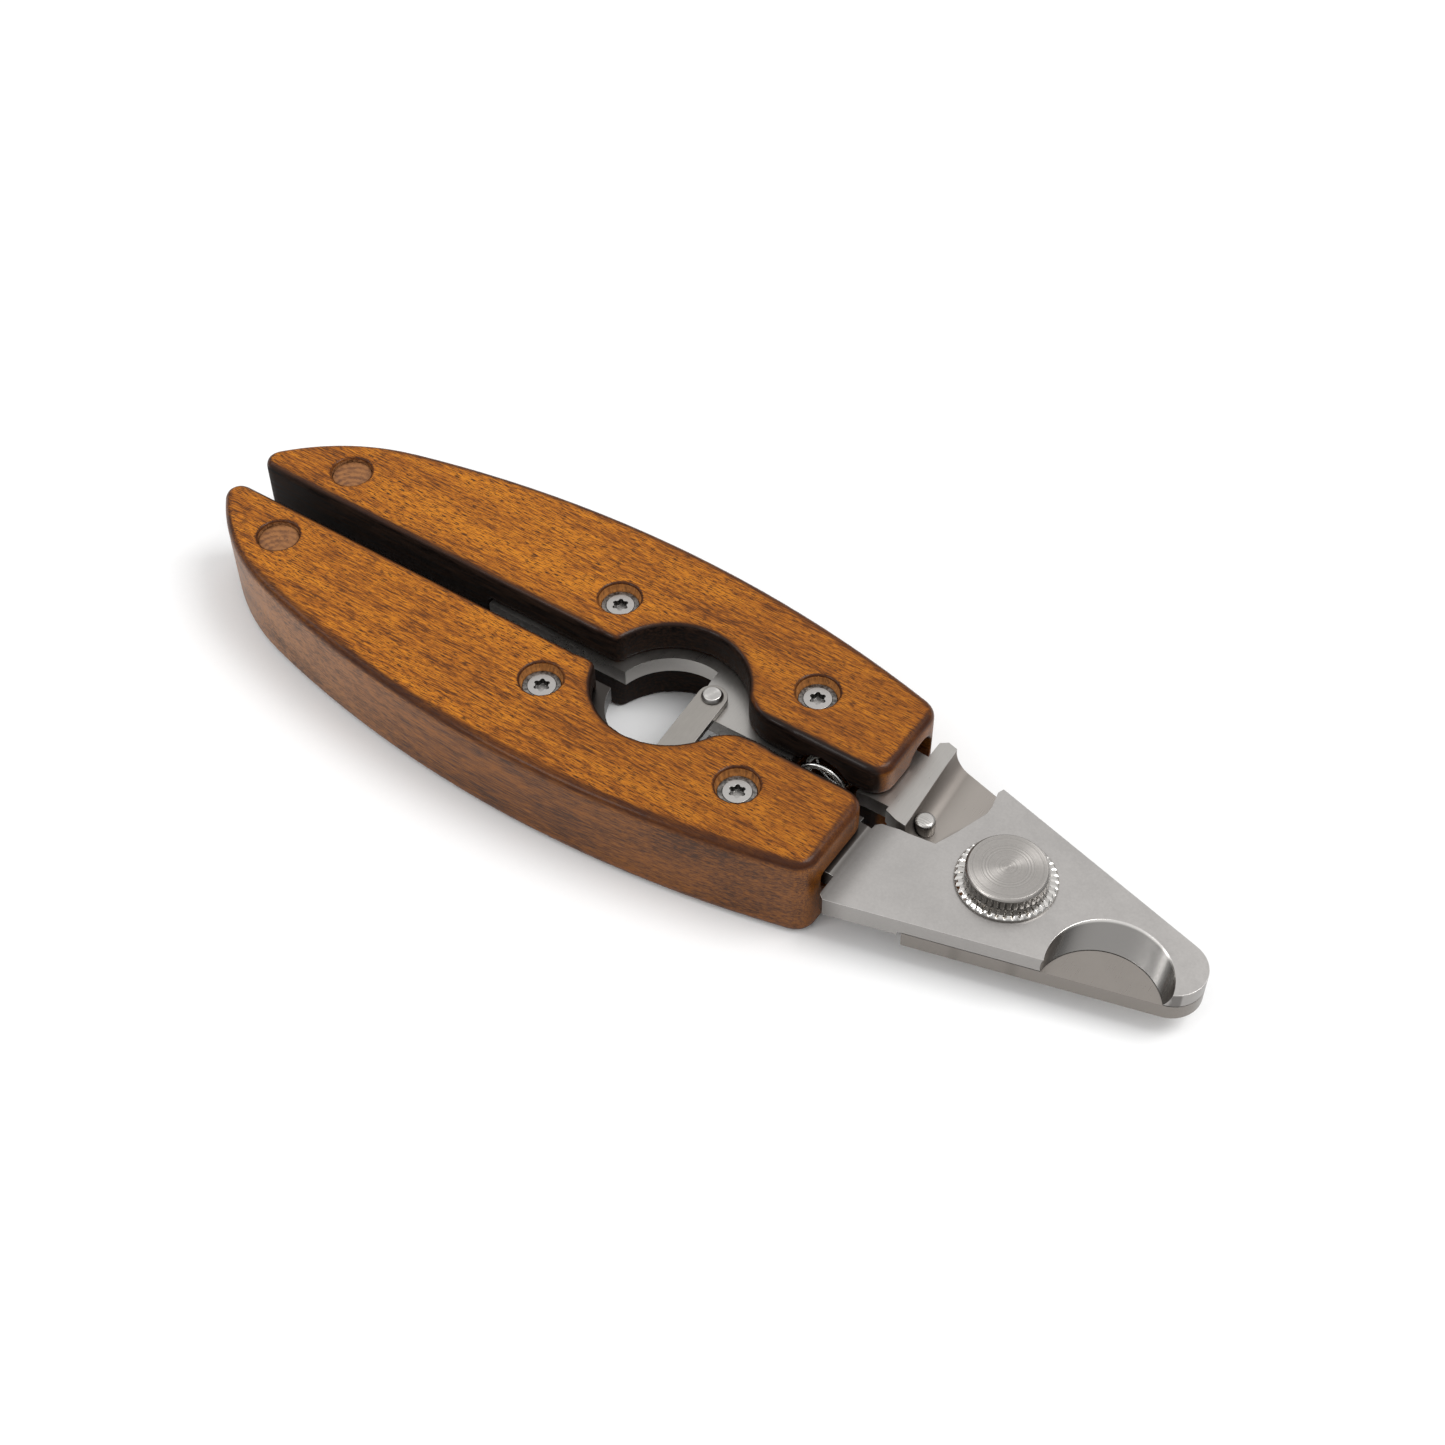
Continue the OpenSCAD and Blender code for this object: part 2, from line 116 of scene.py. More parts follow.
def times(look, first, second):
    return reckon(look, "MULTIPLY", first, second)


def place(look, scale=(1, 1, 1), move=(0, 0, 0), turn=0):
    coords = addNode(look, "ShaderNodeTexCoord")
    mapping = addNode(look, "ShaderNodeMapping")
    mapping.inputs["Scale"].default_value = scale
    mapping.inputs["Location"].default_value = move
    mapping.inputs["Rotation"].default_value = (0, 0, turn)
    join(look, coords.outputs["Object"], mapping.inputs["Vector"])
    return mapping.outputs["Vector"]


def noise(look, scale, detail=3, rough=0.55, distortion=0, turn=0):
    made = addNode(look, "ShaderNodeTexNoise")
    made.inputs["Scale"].default_value = 1
    made.inputs["Detail"].default_value = detail
    made.inputs["Roughness"].default_value = rough
    made.inputs["Distortion"].default_value = distortion
    join(look, place(look, scale, turn=turn), made.inputs["Vector"])
    return made.outputs["Fac"]


def stretch(look, value, low, high, toLow=0, toHigh=1):
    made = addNode(look, "ShaderNodeMapRange", interpolation_type="SMOOTHSTEP")
    join(look, value, made.inputs["Value"])
    for socket, number in zip(("From Min", "From Max", "To Min", "To Max"), (low, high, toLow, toHigh)):
        made.inputs[socket].default_value = number
    return made.outputs["Result"]


def ramp(look, value, *stops):
    made = addNode(look, "ShaderNodeValToRGB")
    join(look, value, made.inputs["Fac"])
    band = made.color_ramp
    while len(band.elements) < len(stops):
        band.elements.new(0.5)
    for element, (at, colour) in zip(band.elements, stops):
        element.position = at
        element.color = (*colour, 1)
    return made.outputs["Color"]


def blendColour(look, factor, below, above, how="MIX"):
    made = addNode(look, "ShaderNodeMix", data_type="RGBA", blend_type=how)
    colours = [s for s in made.inputs if s.type == "RGBA"]
    for socket, value in zip((made.inputs[0], *colours), (factor, below, above)):
        if isinstance(value, tuple):
            socket.default_value = (*value, 1)
        elif isinstance(value, (int, float)):
            socket.default_value = value
        else:
            join(look, value, socket)
    return [s for s in made.outputs if s.type == "RGBA"][0]


def bump(look, height, distance, strength=1, after=None):
    made = addNode(look, "ShaderNodeBump")
    made.inputs["Strength"].default_value = strength
    made.inputs["Distance"].default_value = distance
    join(look, height, made.inputs["Height"])
    if after:
        join(look, after, made.inputs["Normal"])
    return made.outputs["Normal"]


def parts(look, vector):
    made = addNode(look, "ShaderNodeSeparateXYZ")
    join(look, vector, made.inputs[0])
    return made.outputs


def facing(look):
    # which way a surface looks, along x, y and z
    return parts(look, addNode(look, "ShaderNodeNewGeometry").outputs["Normal"])


def distanceFrom(look, x, y):
    # level distance from an upright line
    spot = parts(look, place(look, move=(-x, -y, 0)))
    squares = reckon(look, "ADD", times(look, spot[0], spot[0]), times(look, spot[1], spot[1]))
    return reckon(look, "SQRT", squares)


# the finishes

# besides stain and grain, these hold painted shade for the upright faces, a painted sheen near the butts and
# a near-black painted shadow for the gap and window
wood = {"light": (0.56, 0.192, 0.011), "mid": (0.345, 0.102, 0.007), "dark": (0.115, 0.033, 0.004),
        "pore": (0.030, 0.010, 0.003), "edgeDark": (0.032, 0.008, 0.003), "side": (0.128, 0.045, 0.009),
        "butt": (0.27, 0.155, 0.09), "shadowed": (0.010, 0.005, 0.0035)}
grain = {"fibre": (280, 3600, 3600), "figure": (14, 330, 330), "blotch": (60, 150, 150),
         "pores": (700, 7000, 7000)}  # waves in a metre, along the handle, across it and up
outline = {"radius": 207.4 * mm, "middle": -18.65 * mm}  # the long curve of the handles' sides
# how far from an edge each darker tone runs, and where the front and butt tones begin and end
stainAndShade = {"reach": 2.4 * mm, "rim": 1.8 * mm, "rimStart": 1.1 * mm, "shadowEnd": 0.9 * mm, "shadowStart": 0.1 * mm,
         "wander": 2.2 * mm, "gathers": 0.55, "edgeDarkness": 0.92, "front": (-45 * mm, 36 * mm),
         "frontShade": 0.30, "butt": (-75 * mm, -20 * mm), "buttPale": 0.6, "wallShade": 0.85}
relief = {"wood": 0.04 * mm, "shadowed": 0.05 * mm, "bare": 0.08 * mm}
# how level a surface lies where each finish starts and ends, from 0 upright to 1 flat
slope = {"woodWall": (0.05, 0.5), "rising": (0.06, 0.45), "woodFace": (0.86, 0.995), "wall": (0.12, 0.40),
         "broken": (0.40, 0.55), "face": (0.90, 0.985), "turnedWall": (0.15, 0.45)}


def fromEdges(look, spot, windowAt, windowRadius, gap):
    # how far a spot lies inside the outline, and how far from the gap and the window
    reach = reckon(look, "ADD", reckon(look, "ABSOLUTE", spot[1]), outline["radius"] - outlineHalf)
    along = reckon(look, "SUBTRACT", spot[0], outline["middle"])
    squares = reckon(look, "ADD", times(look, reach, reach), times(look, along, along))
    fromArc = reckon(look, "SUBTRACT", outline["radius"], reckon(look, "SQRT", squares))
    fromFront = reckon(look, "SUBTRACT", handleFront, spot[0])
    fromGap = reckon(look, "SUBTRACT", reckon(look, "ABSOLUTE", spot[1]), gap)
    fromWindow = reckon(look, "SUBTRACT", distanceFrom(look, *windowAt), windowRadius)
    return reckon(look, "MINIMUM", fromArc, fromFront), reckon(look, "MINIMUM", fromGap, fromWindow)


def stainedShadedWood(name, windowAt, windowRadius, gap):
    look, shader = newLook(name)
    spot = parts(look, place(look))
    up = reckon(look, "ABSOLUTE", facing(look)[2])
    fibre = noise(look, grain["fibre"], 5, 0.66)
    figure = noise(look, grain["figure"], 3, 0.5, 0.5)
    blotch = noise(look, grain["blotch"], 4, 0.6)
    pores = noise(look, grain["pores"], 2, 0.5)
    tone = reckon(look, "ADD", times(look, fibre, 0.60),
                  reckon(look, "ADD", times(look, figure, 0.20), times(look, blotch, 0.20)))
    colour = ramp(look, tone, (0.41, wood["dark"]), (0.48, wood["mid"]), (0.575, wood["light"]))
    openPores = stretch(look, pores, 0.51, 0.60, 0, 0.95)
    poreMask = times(look, openPores, stretch(look, blotch, 0.30, 0.65, 0.65, 1))
    colour = blendColour(look, poreMask, colour, wood["pore"])
    # darker toward the front
    toFront = stretch(look, spot[0], *stainAndShade["front"], 0, stainAndShade["frontShade"])
    colour = blendColour(look, toFront, colour, wood["dark"])
    # painted shade darkens the upright faces, and a painted sheen makes them paler and greyer toward the
    # butts
    sheenTowardButt = stretch(look, spot[0], *stainAndShade["butt"], stainAndShade["buttPale"], 0)
    shadedWallTone = blendColour(look, sheenTowardButt, wood["side"], wood["butt"])
    sideGrain = ramp(look, tone, (0.42, (0.30, 0.26, 0.22)), (0.56, (1.5, 1.46, 1.4)))
    shadedWallColour = blendColour(look, 1.0, sideGrain, shadedWallTone, "MULTIPLY")
    wall = stretch(look, up, *slope["woodWall"], stainAndShade["wallShade"], 0)
    colour = blendColour(look, wall, colour, shadedWallColour)
    # stain gathers near every edge
    outer, inner = fromEdges(look, spot, windowAt, windowRadius, gap)
    inside = reckon(look, "MINIMUM", outer, inner)
    wobble = times(look, reckon(look, "SUBTRACT", blotch, 0.5), stainAndShade["wander"])
    rise = stretch(look, up, *slope["rising"])
    gathered = stretch(look, reckon(look, "ADD", inside, wobble), 0, stainAndShade["reach"], stainAndShade["gathers"], 0)
    colour = blendColour(look, times(look, gathered, rise), colour, wood["dark"])
    # the rounded edges and a band along the outline are darker, unevenly
    ragged = stretch(look, blotch, 0.34, 0.60, 0.62, 1)
    rounded = times(look, times(look, rise, stretch(look, up, *slope["woodFace"], 1, 0)), ragged)
    rimBand = stretch(look, reckon(look, "ADD", outer, times(look, wobble, 0.6)),
                      stainAndShade["rimStart"], stainAndShade["rim"], 0.95, 0)
    darkEdges = reckon(look, "MAXIMUM", rounded, times(look, times(look, rimBand, rise), ragged))
    colour = blendColour(look, times(look, darkEdges, stainAndShade["edgeDarkness"]), colour, wood["edgeDark"])
    # painted shadow: the edges of the gap and the finger window are painted nearly black
    shadowed = stretch(look, reckon(look, "ADD", inner, times(look, wobble, 0.3)),
                      stainAndShade["shadowStart"], stainAndShade["shadowEnd"], 0.97, 0)
    colour = blendColour(look, shadowed, colour, wood["shadowed"])
    join(look, colour, shader.inputs["Base Color"])
    join(look, stretch(look, fibre, 0.3, 0.7, 0.34, 0.50), shader.inputs["Roughness"])
    grainBump = bump(look, pores, relief["wood"], 0.5)
    join(look, bump(look, fibre, relief["wood"], 0.4, grainBump), shader.inputs["Normal"])
    put(shader, Coat_Weight=0.16, Coat_Roughness=0.13, Specular_IOR_Level=0.12)
    return look


cutShadowTone = {"fibre": (190, 2300, 2300), "deep": (0.004, 0.002, 0.0015), "pale": (0.030, 0.015, 0.009)}


def shadowedCutWood(name):
    # painted shadow: near black where the gap and the window were cut, with little gloss
    look, shader = newLook(name)
    fibre = noise(look, cutShadowTone["fibre"], 5, 0.62)
    colour = ramp(look, fibre, (0.40, cutShadowTone["deep"]), (0.66, cutShadowTone["pale"]))
    join(look, colour, shader.inputs["Base Color"])
    join(look, stretch(look, fibre, 0.3, 0.7, 0.5, 0.75), shader.inputs["Roughness"])
    join(look, bump(look, fibre, relief["shadowed"], 0.5), shader.inputs["Normal"])
    put(shader, Specular_IOR_Level=0.12)
    return look


endGrain = {"rings": 5200, "contrast": 0.10, "flecks": (3200, 3200, 900)}


def bareWood(name, light, dark, across=(1800, 1800, 120), rings=None):
    # unstained wood inside the bores, and the end grain of the dowels
    look, shader = newLook(name)
    fibre = noise(look, across, 4, 0.6)
    tone = fibre
    if rings:
        spread = times(look, distanceFrom(look, *rings), endGrain["rings"])
        tone = reckon(look, "ADD", fibre, times(look, reckon(look, "SINE", spread), endGrain["contrast"]))
    colour = ramp(look, tone, (0.32, dark), (0.62, light))
    fleck = stretch(look, noise(look, endGrain["flecks"], 2), 0.60, 0.70, 0, 0.6)
    join(look, blendColour(look, fleck, colour, tuple(c * 0.35 for c in dark)), shader.inputs["Base Color"])
    join(look, stretch(look, fibre, 0.3, 0.7, 0.55, 0.8), shader.inputs["Roughness"])
    join(look, bump(look, fibre, relief["bare"], 0.6), shader.inputs["Normal"])
    return look


# the darker colours here are painted shade on upright faces, beside the wood, in the screw drives and around
# the notch; the light one is a painted highlight on the edges
steel = {"wallShadeColour": (0.05, 0.045, 0.04), "rootShadeColour": (0.055, 0.048, 0.043), "driveShade": (0.03, 0.027, 0.024),
         "notchShadeColour": (0.06, 0.054, 0.05), "glintColour": (0.86, 0.84, 0.81), "glintStrength": 0.7, "polishSmooths": 0.12,
         "scratch": 0.004 * mm, "cloud": (160, 160, 160), "driveFrom": 0.2 * mm, "driveTo": 0.05 * mm}
# waves in a metre, the depth of a turning mark and how much painted shade darkens the upright faces
lathe = {"streaks": 4200, "fine": (2500, 2500, 2500), "scratch": 0.002 * mm, "wallShade": 0.78}


def milledStep(look, tone, spot, recess):
    # the milled step is duller and warmer than the ground faces, and marked where the other lever rubs
    sunken = stretch(look, spot[2], recess["top"] - recess["soft"], recess["top"], 1, 0)
    low = times(look, sunken, stretch(look, spot[0], recess["start"], recess["start"] + recess["run"]))
    fromRub = reckon(look, "SUBTRACT", distanceFrom(look, pivot.x, pivot.y), recess["rub"])
    rub = stretch(look, reckon(look, "ABSOLUTE", fromRub), 0, recess["rubWidth"], recess["rubbing"], 0)
    tone = blendColour(look, times(look, low, recess["milled"]), tone, recess["colour"])
    tone = blendColour(look, times(look, low, rub), tone, recess["rubbed"])
    # painted shade, darkest at the step and fading toward its foot
    fromFoot = stretch(look, spot[0], recess["start"] + recess["run"], recess["foot"])
    step = times(look, low, reckon(look, "SUBTRACT", 1.0, fromFoot))
    return blendColour(look, times(look, step, recess["shading"]), tone, recess["shade"]), low, step


def shadeNotch(look, tone, spot, across, steep, notchShade):
    # painted shade on the upright faces of the notch, and on the lower blade's faces around it
    inNotch = stretch(look, distanceFrom(look, *notchShade["at"]), notchShade["reach"], notchShade["reach"] + notchShade["fade"],
                      notchShade["shade"], 0)
    if notchShade["below"]:
        under = stretch(look, spot[2], notchShade["below"] - notchShade["softFrom"], notchShade["below"] - notchShade["softTo"], 1, 0)
        notSide = stretch(look, across, *notchShade["sideways"], 1, 0)
        inNotch = times(look, times(look, inNotch, under), notSide)
    else:
        inNotch = times(look, inNotch, reckon(look, "SUBTRACT", 1.0, steep))
    return blendColour(look, inNotch, tone, steel["notchShadeColour"])


def satinSteel(name, colour=(0.62, 0.605, 0.585), rough=0.34, grain=(300, 9000, 9000), turn=0, depth=0.5,
               recess=None, rootShade=None, sunk=None, wallShade=0, notchShade=None):
    look, shader = newLook(name)
    put(shader, Metallic=1.0)
    spot = parts(look, place(look))
    aimed = facing(look)
    level = reckon(look, "ABSOLUTE", aimed[2])
    steep = stretch(look, level, *slope["wall"], 1, 0)
    lines = noise(look, grain, 3, 0.6, turn=turn)
    cloud = noise(look, steel["cloud"], 4, 0.6)
    mottle = reckon(look, "ADD", times(look, lines, 0.5), times(look, cloud, 0.5))
    tone = ramp(look, mottle, (0.38, tuple(c * 0.90 for c in colour)), (0.62, colour))
    marks = reckon(look, "ADD", cloud, times(look, lines, 0.8))
    worn = stretch(look, marks, 0.60, 1.2, rough - 0.03, rough + 0.04)
    # painted highlight: the broken edges are painted brighter, and their roughness is lowered
    edgeGlint = times(look, stretch(look, level, *slope["broken"]), stretch(look, level, *slope["face"], 1, 0))
    if recess:
        tone, low, step = milledStep(look, tone, spot, recess)
        edgeGlint = times(look, edgeGlint, reckon(look, "SUBTRACT", 1.0, low))
        worn = reckon(look, "ADD", worn, times(look, step, recess["rougher"]))
    if rootShade:
        # painted shade where the lever leaves the wood
        near = stretch(look, spot[0], rootShade["from"], rootShade["to"], rootShade["shade"], 0)
        tone = blendColour(look, near, tone, steel["rootShadeColour"])
    tone = blendColour(look, times(look, edgeGlint, steel["glintStrength"]), tone, steel["glintColour"])
    if sunk:
        # painted shade on the upright faces of the drive
        under = stretch(look, spot[2], sunk - steel["driveFrom"], sunk - steel["driveTo"], 1, 0)
        shaded = times(look, under, stretch(look, steep, 0, 1, 0.05, 0.97))
        tone = blendColour(look, shaded, tone, steel["driveShade"])
    if wallShade:
        # painted shade darkens upright faces, except above the bare height on the milled lever
        wallShading = times(look, steep, wallShade)
        if recess:
            wallShading = times(look, wallShading, stretch(look, spot[2], *recess["bare"], 1, 0))
        tone = blendColour(look, wallShading, tone, steel["wallShadeColour"])
    if notchShade:
        tone = shadeNotch(look, tone, spot, reckon(look, "ABSOLUTE", aimed[1]), steep, notchShade)
    join(look, tone, shader.inputs["Base Color"])
    worn = reckon(look, "SUBTRACT", worn, times(look, edgeGlint, steel["polishSmooths"]))
    join(look, worn, shader.inputs["Roughness"])
    join(look, bump(look, lines, steel["scratch"], depth), shader.inputs["Normal"])
    return look


def turnedSteel(name, centre, colour=(0.60, 0.58, 0.555), rough=0.34, pitch=0.22 * mm, depth=0.3):
    # turned on a lathe about its own axis
    look, shader = newLook(name)
    put(shader, Metallic=1.0, Anisotropic=0.8)
    away = distanceFrom(look, centre[0], centre[1])
    fine = noise(look, lathe["fine"], 2)
    turns = reckon(look, "SINE", times(look, away, 2 * math.pi / pitch))
    uneven = addNode(look, "ShaderNodeTexNoise", noise_dimensions="1D")
    uneven.inputs["Scale"].default_value = 1
    uneven.inputs["Detail"].default_value = 4
    join(look, times(look, away, lathe["streaks"]), uneven.inputs["W"])
    height = reckon(look, "ADD", times(look, turns, 0.25), uneven.outputs["Fac"])
    mottle = reckon(look, "ADD", times(look, uneven.outputs["Fac"], 0.7), times(look, fine, 0.3))
    tone = ramp(look, mottle, (0.35, tuple(c * 0.78 for c in colour)), (0.65, colour))
    level = reckon(look, "ABSOLUTE", facing(look)[2])
    # painted shade darkens upright faces
    wall = stretch(look, level, *slope["turnedWall"], lathe["wallShade"], 0)
    join(look, blendColour(look, wall, tone, steel["wallShadeColour"]), shader.inputs["Base Color"])
    join(look, stretch(look, uneven.outputs["Fac"], 0.3, 0.7, rough - 0.06, rough + 0.08),
         shader.inputs["Roughness"])
    join(look, bump(look, height, lathe["scratch"], depth), shader.inputs["Normal"])
    around = addNode(look, "ShaderNodeVectorMath", operation="CROSS_PRODUCT")
    around.inputs[0].default_value = (0, 0, 1)
    join(look, place(look, move=(-centre[0], -centre[1], 0)), around.inputs[1])
    join(look, around.outputs[0], shader.inputs["Tangent"])
    return look


shadowGrey = {"wear": (1500, 1500, 1500), "dark": (0.10, 0.095, 0.09), "bare": (0.34, 0.32, 0.30),
           "relief": 0.02 * mm}


def shadowGreySteel(name):
    look, shader = newLook(name)
    put(shader, Metallic=1.0)
    wear = noise(look, shadowGrey["wear"], 4, 0.6)
    # painted shade: the washers are painted dark grey for the shade they sit in, with random lighter patches
    colour = ramp(look, wear, (0.40, shadowGrey["dark"]), (0.66, shadowGrey["bare"]))
    join(look, colour, shader.inputs["Base Color"])
    join(look, stretch(look, wear, 0.3, 0.7, 0.28, 0.46), shader.inputs["Roughness"])
    join(look, bump(look, wear, shadowGrey["relief"], 0.4), shader.inputs["Normal"])
    return look


# shaping the pieces

def pickOnly(piece):
    if bpy.context.object and bpy.context.object.mode != "OBJECT":
        bpy.ops.object.mode_set(mode="OBJECT")
    bpy.ops.object.select_all(action="DESELECT")
    piece.select_set(True)
    bpy.context.view_layer.objects.active = piece


clean = {"copyWeld": 0.0005 * mm, "flat": 0.4, "weld": 0.001 * mm, "smooth": 38, "weight": 90}


def copyOf(node, name):
    piece = bpy.data.objects.new(name, frame["nodes"][node].data.copy())
    bpy.context.scene.collection.objects.link(piece)
    piece.data.materials.clear()
    pickOnly(piece)
    bpy.ops.object.mode_set(mode="EDIT")
    bpy.ops.mesh.select_all(action="SELECT")
    bpy.ops.mesh.customdata_custom_splitnormals_clear()
    bpy.ops.mesh.remove_doubles(threshold=clean["copyWeld"])
    bpy.ops.mesh.dissolve_limited(angle_limit=math.radians(clean["flat"]))
    bpy.ops.object.mode_set(mode="OBJECT")
    return piece


def breakEdges(piece, width, segments=2, angle=32):
    pickOnly(piece)
    soft = piece.modifiers.new("soft", "BEVEL")
    soft.width = width
    soft.segments = segments
    soft.limit_method = "ANGLE"
    soft.angle_limit = math.radians(angle)
    soft.use_clamp_overlap = True
    soft.miter_outer = "MITER_ARC"
    bpy.ops.object.modifier_apply(modifier="soft")
    bpy.ops.object.mode_set(mode="EDIT")
    bpy.ops.mesh.select_all(action="SELECT")
    bpy.ops.mesh.remove_doubles(threshold=clean["weld"])
    bpy.ops.object.mode_set(mode="OBJECT")
    bpy.ops.object.shade_smooth_by_angle(angle=math.radians(clean["smooth"]))
    even = piece.modifiers.new("even", "WEIGHTED_NORMAL")
    even.keep_sharp = True
    even.weight = clean["weight"]
    bpy.ops.object.modifier_apply(modifier="even")


def selectWhere(piece, wanted):
    pickOnly(piece)
    bpy.ops.object.mode_set(mode="EDIT")
    bpy.ops.mesh.select_all(action="DESELECT")
    bpy.ops.object.mode_set(mode="OBJECT")
    for point in piece.data.vertices:
        point.select = wanted(point.co)
    bpy.ops.object.mode_set(mode="EDIT")
    bpy.ops.mesh.select_mode(type="VERT")


def standIn(piece, node, look):
    if look:
        piece.data.materials.append(look)
    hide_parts(node)
    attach(piece, bodyOf[node])


def dress(node, name, look, width=0.12 * mm, segments=2, angle=32):
    piece = copyOf(node, name)
    breakEdges(piece, width, segments, angle)
    standIn(piece, node, look)
    return piece


print("handles")
handle = {"cell": 0.38 * mm, "wear": 3, "rim": 1.5 * mm, "rimWear": 14, "rimEnds": 20 * mm,
          "boreReach": 3.9 * mm, "boreFoot": 0.7, "boreTop": 0.4 * mm, "shadowReach": 2.2 * mm,
          "shadowBack": 2 * mm, "wall": 0.35, "ringsAside": (2.4 * mm, -3 * mm),
          "plugEdge": 0.25 * mm}
window = {"x": -2.8 * mm, "y": 0, "radius": 12.6 * mm, "gap": 2.75 * mm}
woodLook = stainedShadedWood("stained and shaded beech", (window["x"], window["y"]), window["radius"], window["gap"])
boreLook = bareWood("bare bore wood", (0.42, 0.165, 0.035), (0.20, 0.072, 0.013))
shadowedCutLook = shadowedCutWood("charred cut")


def fromCut(spot):
    # how deep in the wood a spot lies, from the gap and the window
    fromWindow = math.hypot(spot.x - window["x"], spot.y - window["y"]) - window["radius"]
    return min(fromWindow, abs(spot.y) - window["gap"])


def sandHandle(shell, thickness):
    # an even skin that can be sanded, then the rims of the gap and window eased by hand
    pickOnly(shell)
    skin = shell.modifiers.new("skin", "REMESH")
    skin.mode = "VOXEL"
    skin.voxel_size = handle["cell"]
    skin.use_smooth_shade = True
    bpy.ops.object.modifier_apply(modifier="skin")
    sand = shell.modifiers.new("sand", "SMOOTH")
    sand.factor = 0.5
    sand.iterations = handle["wear"]
    bpy.ops.object.modifier_apply(modifier="sand")

    def onRim(spot):
        nearFace = min(spot.z, thickness - spot.z) < handle["rim"]
        return nearFace and abs(spot.x) < handle["rimEnds"] and fromCut(spot) < handle["rim"]

    selectWhere(shell, onRim)
    bpy.ops.mesh.vertices_smooth(factor=0.5, repeat=handle["rimWear"])
    bpy.ops.object.mode_set(mode="OBJECT")


for side in ("near", "far"):
    shell = copyOf(side + "_handle", side + "Handle")
    sandHandle(shell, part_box(side + "_handle")[1].z)
    shell.data.materials.append(woodLook)
    shell.data.materials.append(boreLook)
    shell.data.materials.append(shadowedCutLook)
    bores = pairCentres(side + "_screws")
    plugSpot = middle(side + "_plug")
    rings = (plugSpot.x + handle["ringsAside"][0], plugSpot.y + handle["ringsAside"][1])
    topFront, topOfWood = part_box(side + "_handle")[1].x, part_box(side + "_handle")[1].z
    for face in shell.data.polygons:
        spot = face.center
        inBore = any(math.hypot(spot.x - x, spot.y - y) < handle["boreReach"] for x, y in bores)
        if inBore and topOfWood * handle["boreFoot"] < spot.z < topOfWood - handle["boreTop"]:
            face.material_index = 1
        # painted shadow: upright faces near the gap and window get the near-black material
        onWall = abs(face.normal.z) < handle["wall"]
        if onWall and fromCut(spot) < handle["shadowReach"] and spot.x < topFront - handle["shadowBack"]:
            face.material_index = 2
    standIn(shell, side + "_handle", None)
    plugLook = bareWood(side + " dowel end grain", (0.30, 0.125, 0.038), (0.15, 0.055, 0.016),
                        (900, 1500, 900), rings)
    dress(side + "_plug", side + "Dowel", plugLook, handle["plugEdge"])

print("levers")
lever = {"edge": 0.26 * mm, "steps": 3, "sharp": 24, "plateTop": 10.55 * mm}
# painted shade on the upper lever where it leaves the wood
rootShade = {"from": 35.2 * mm, "to": 42 * mm, "shade": 0.97}
recess = {"top": 11 * mm, "soft": 0.5 * mm, "start": 39 * mm, "run": 1 * mm, "foot": 46 * mm,
          "rub": 13.2 * mm, "rubWidth": 0.5 * mm, "rubbing": 0.35, "bare": (7.7 * mm, 8 * mm),
          "colour": (0.40, 0.36, 0.325), "shade": (0.17, 0.15, 0.135), "rubbed": (0.2, 0.18, 0.16),
          "milled": 0.8, "shading": 0.75, "rougher": 0.35}
notch = {"at": (79.6 * mm, -7.6 * mm), "reach": 11.0 * mm, "softFrom": 0.35 * mm, "softTo": 0.1 * mm,
         "sideways": (0.90, 0.97)}
# painted shade around the notch, on both blades
upperNotchShade = {**notch, "shade": 0.66, "fade": 0.4 * mm, "below": lever["plateTop"]}
lowerNotchShade = {**notch, "shade": 0.30, "fade": 9 * mm, "below": 0}
upperLook = satinSteel("satin upper blade", (0.52, 0.50, 0.483), 0.33, (2600, 2600, 2600), 0, 0.35,
                       rootShade=rootShade, wallShade=0.42, notchShade=upperNotchShade)
lowerLook = satinSteel("brushed lower blade", (0.52, 0.50, 0.475), 0.30, (7000, 400, 7000), 0, 0.6,
                       recess, wallShade=0.55, notchShade=lowerNotchShade)
dress("upper_blade_lever", "upperBladeLever", upperLook, lever["edge"], lever["steps"], lever["sharp"])
dress("lower_blade_lever", "lowerBladeLever", lowerLook, lever["edge"], lever["steps"], lever["sharp"])

print("pivot")
turned = {"knobEdge": 0.1 * mm, "toothEdge": 0.012 * mm, "boltEdge": 0.15 * mm, "washerEdge": 0.05 * mm}
knobLook = turnedSteel("turned knob", pivot, (0.50, 0.475, 0.45), 0.32, depth=0.12)
ringLook = satinSteel("cut click ring", (0.62, 0.60, 0.575), 0.22, (1500, 1500, 1500), 0, 0.1, wallShade=0.7)
dress("tension_knob", "tensionKnob", knobLook, turned["knobEdge"])
dress("click_ring", "clickRing", ringLook, turned["toothEdge"], 1)
dress("pivot_bolt", "pivotBolt", turnedSteel("turned bolt", pivot, rough=0.3), turned["boltEdge"], 3)
dress("wave_washer", "waveWasher", satinSteel("spring washer", rough=0.25), turned["washerEdge"])

print("fittings")
fitting = {"sawnFrom": 4 * mm, "sawPitch": 0.3 * mm, "pinEdge": 0.2 * mm, "pegEdge": 0.15 * mm,
           "latchLean": math.radians(-3.7), "edge": 0.12 * mm, "screwEdge": 0.06 * mm}
stopSpot = middle("stop_pin")
rivetSpot = middle("latch_rivet")
pegSpot = middle("latch_peg")
